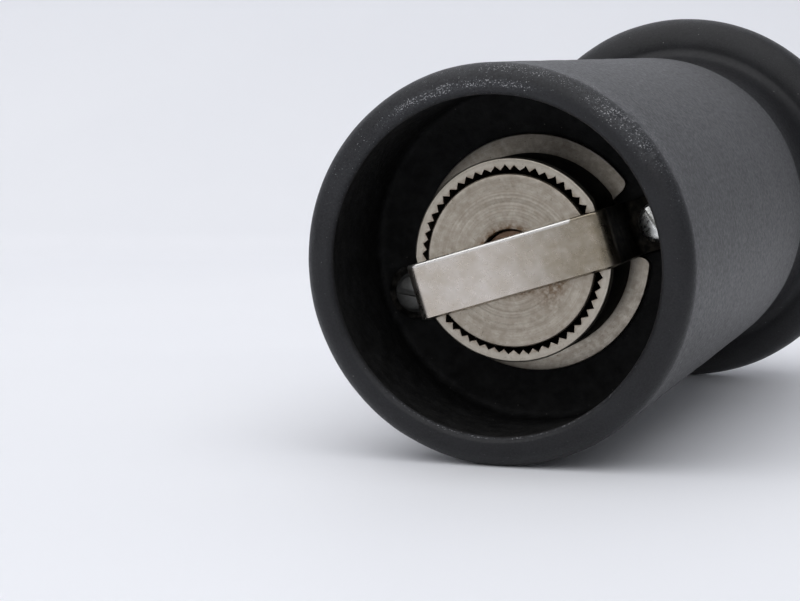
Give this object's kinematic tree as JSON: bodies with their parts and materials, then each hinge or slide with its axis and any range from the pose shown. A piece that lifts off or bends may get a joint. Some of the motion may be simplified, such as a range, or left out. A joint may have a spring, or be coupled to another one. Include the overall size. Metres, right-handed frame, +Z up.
{
  "type": "pepper mill",
  "caption": "Painted cast-iron pepper mill: tapered body with a steel grinding mechanism in its open base, a turning mushroom head and a knurled adjusting nut.",
  "frame": {"origin": "centre of the base, in the plane that the rim stands on", "axes": "+Z up the mill's axis to the adjusting nut, X along the bridge across the mechanism"},
  "size_m": [0.064, 0.064, 0.14],
  "materials": {
    "cast_paint": "matte black, fine-grained enamel over cast iron",
    "grinding_steel": "turned steel with fine tool rings",
    "strip_steel": "nickel-plated rolled strip, satin",
    "screw_steel": "bright plated steel",
    "shaft_steel": "drawn steel",
    "white_plastic": "moulded off-white plastic",
    "dark_plastic": "moulded black plastic"
  },
  "bodies": {
    "body": {"body_casting": "cast_paint", "neck_bushing": "white_plastic", "grinding_ring": "grinding_steel", "shaft_guide": "strip_steel", "bridge": "strip_steel", "bridge_screw_left": "screw_steel", "bridge_screw_right": "screw_steel"},
    "slip_ring": {"slip_ring": "dark_plastic"},
    "spindle": {"drive_shaft": "shaft_steel", "grinding_cone": "grinding_steel", "cone_washer": "shaft_steel", "spring_washer": "shaft_steel", "cone_spring": "shaft_steel"},
    "head": {"head_casting": "cast_paint", "head_core": "white_plastic", "driver_plate": "strip_steel", "driver_plate_screw_1": "screw_steel", "driver_plate_screw_2": "screw_steel", "driver_plate_screw_3": "screw_steel", "nut_washer": "screw_steel"},
    "nut": {"adjusting_nut": "screw_steel"}
  },
  "joints": [
    {"name": "head_turn", "type": "hinge", "parent": "body", "child": "slip_ring", "pos_m": [0, 0, 0.0884], "axis": [0, 0, 1], "continuous": true},
    {"name": "grind_adjust", "type": "slide", "parent": "slip_ring", "child": "spindle", "axis": [0, 0, 1], "range_m": [0, 0.0012], "deforming": ["cone_spring"]},
    {"name": "head_lift", "type": "slide", "parent": "slip_ring", "child": "head", "axis": [0, 0, 1], "range_m": [0, 0.062]},
    {"name": "nut_turn", "type": "hinge", "parent": "head", "child": "nut", "pos_m": [0, 0, 0.135], "axis": [0, 0, -1], "range_deg": [0, 540]}
  ],
  "couplings": [
    {"joint": "nut_turn", "follows": "grind_adjust", "rad_per_m": 7854}
  ]
}
